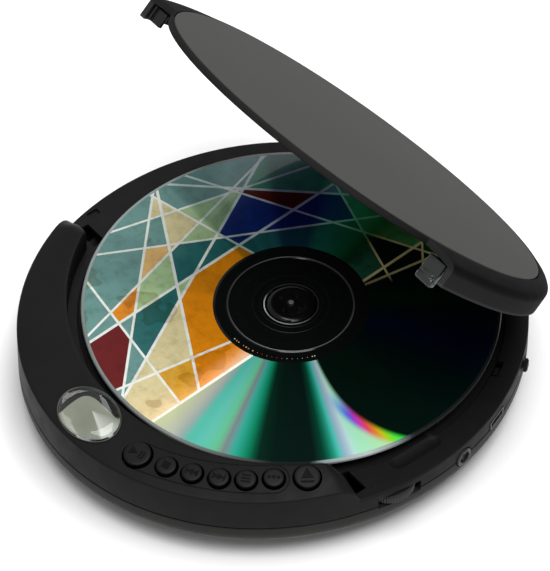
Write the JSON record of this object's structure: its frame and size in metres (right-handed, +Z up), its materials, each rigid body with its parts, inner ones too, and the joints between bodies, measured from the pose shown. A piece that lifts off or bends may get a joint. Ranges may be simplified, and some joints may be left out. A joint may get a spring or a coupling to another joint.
{
  "type": "portable compact disc player",
  "caption": "Round pocket player for compact discs with a hinged lid standing open, a disc on its turntable, and a raised front crescent carrying a display window and a row of round keys.",
  "frame": {"origin": "on the table, under the middle of the case outline", "axes": "+Z up, -Y to the front where the display and keys are, +Y to the lid hinge, +X to the side with the sockets and the volume wheel"},
  "size_m": [0.1405, 0.1496, 0.1183],
  "materials": {
    "case_plastic": "fine satin texture, near black",
    "key_plastic": "smooth satin",
    "plate_paint": "warm dark grey satin paint",
    "clear_plastic": "polished clear",
    "lcd": "pale green-grey, glossy",
    "disc": "mirrored with printed facets",
    "rubber": "matte",
    "circuit_board": "green solder mask",
    "plated_steel": "bright plated",
    "dark_plastic": "plain moulded",
    "grey_plastic": "slightly glossy",
    "cell_wrap": "printed wrap, no lettering"
  },
  "bodies": {
    "case": {"bottom_case": "case_plastic", "top_case": "case_plastic", "display_window": "clear_plastic", "display_module": "lcd", "button_mat": "rubber", "control_board": "circuit_board", "main_board": "circuit_board", "headphone_jack": "plated_steel", "power_socket": "dark_plastic", "volume_control": "dark_plastic", "hold_switch": "dark_plastic", "lid_switch": "dark_plastic", "mechanism_chassis": "plated_steel", "chassis_damper_1": "rubber", "chassis_damper_2": "rubber", "chassis_damper_3": "rubber", "spindle_motor": "plated_steel", "guide_rod_front": "plated_steel", "guide_rod_back": "plated_steel", "sled_motor": "plated_steel", "battery_cell_1": "cell_wrap", "battery_cell_2": "cell_wrap", "battery_contact_left": "plated_steel", "battery_contact_right": "plated_steel", "foot_1": "rubber", "foot_2": "rubber", "foot_3": "rubber", "foot_4": "rubber", "case_screw_1": "plated_steel", "case_screw_2": "plated_steel", "case_screw_3": "plated_steel", "case_screw_4": "plated_steel", "hinge_pin_left": "plated_steel", "hinge_pin_right": "plated_steel"},
    "lid": {"lid_shell": "case_plastic", "lid_plate": "plate_paint", "lid_catch_left": "dark_plastic", "lid_catch_right": "grey_plastic", "disc_clamp": "rubber"},
    "spindle": {"turntable": "dark_plastic", "compact_disc": "disc"},
    "sled": {"pickup_sled": "dark_plastic"},
    "lens": {"pickup_lens": "clear_plastic"},
    "screw": {"lead_screw": "plated_steel"},
    "latch": {"lid_latch": "grey_plastic"},
    "wheel": {"volume_wheel": "key_plastic"},
    "hold": {"hold_knob": "key_plastic"},
    "cover": {"battery_cover": "case_plastic"},
    "play_key": {"play_button": "key_plastic"},
    "stop_key": {"stop_button": "key_plastic"},
    "previous_key": {"previous_button": "key_plastic"},
    "next_key": {"next_button": "key_plastic"},
    "program_key": {"program_button": "key_plastic"},
    "mode_key": {"mode_button": "key_plastic"},
    "open_key": {"open_button": "key_plastic"}
  },
  "joints": [
    {"name": "lid_hinge", "type": "hinge", "parent": "case", "child": "lid", "pos_m": [0, 0.0701, 0.0222], "axis": [-1, 0, 0], "range_deg": [-47.3, 0]},
    {"name": "spindle_spin", "type": "hinge", "parent": "case", "child": "spindle", "pos_m": [0, 0.0064, 0.018], "axis": [0, 0, 1], "continuous": true},
    {"name": "sled_slide", "type": "slide", "parent": "case", "child": "sled", "axis": [-1, 0, 0], "range_m": [0, 0.032]},
    {"name": "lens_focus", "type": "slide", "parent": "sled", "child": "lens", "axis": [0, 0, 1], "range_m": [-0.0003, 0.0003], "stiffness_N_per_m": 60},
    {"name": "lead_screw_turn", "type": "hinge", "parent": "case", "child": "screw", "pos_m": [-0.03, -0.0101, 0.0122], "axis": [1, 0, 0], "range_deg": [0, 3841]},
    {"name": "latch_slide", "type": "slide", "parent": "case", "child": "latch", "axis": [0, -1, 0], "range_m": [0, 0.0012]},
    {"name": "volume_turn", "type": "hinge", "parent": "case", "child": "wheel", "pos_m": [0.06309, -0.00943, 0.0135], "axis": [0, 0, 1], "range_deg": [-150, 150]},
    {"name": "hold_slide", "type": "slide", "parent": "case", "child": "hold", "axis": [-0.6183, 0.7859, 0], "range_m": [0, 0.0024]},
    {"name": "cover_slide", "type": "slide", "parent": "case", "child": "cover", "axis": [0, -1, 0], "range_m": [0, 0.004]},
    {"name": "play_press", "type": "slide", "parent": "case", "child": "play_key", "axis": [-0.0551, 0.1685, -0.9842], "range_m": [0, 0.001], "stiffness_N_per_m": 400},
    {"name": "stop_press", "type": "slide", "parent": "case", "child": "stop_key", "axis": [-0.0809, 0.1653, -0.9829], "range_m": [0, 0.001], "stiffness_N_per_m": 400},
    {"name": "previous_press", "type": "slide", "parent": "case", "child": "previous_key", "axis": [-0.1018, 0.1601, -0.9818], "range_m": [0, 0.001], "stiffness_N_per_m": 400},
    {"name": "next_press", "type": "slide", "parent": "case", "child": "next_key", "axis": [-0.1249, 0.1548, -0.98], "range_m": [0, 0.001], "stiffness_N_per_m": 400},
    {"name": "program_press", "type": "slide", "parent": "case", "child": "program_key", "axis": [-0.1454, 0.146, -0.9785], "range_m": [0, 0.001], "stiffness_N_per_m": 400},
    {"name": "mode_press", "type": "slide", "parent": "case", "child": "mode_key", "axis": [-0.163, 0.1333, -0.9776], "range_m": [0, 0.001], "stiffness_N_per_m": 400},
    {"name": "open_press", "type": "slide", "parent": "case", "child": "open_key", "axis": [-0.2017, 0.1238, -0.9716], "range_m": [0, 0.001], "stiffness_N_per_m": 500}
  ],
  "couplings": [
    {"joint": "lead_screw_turn", "follows": "sled_slide", "rad_per_m": 2094.4},
    {"joint": "latch_slide", "follows": "open_press", "ratio": 1.2}
  ]
}
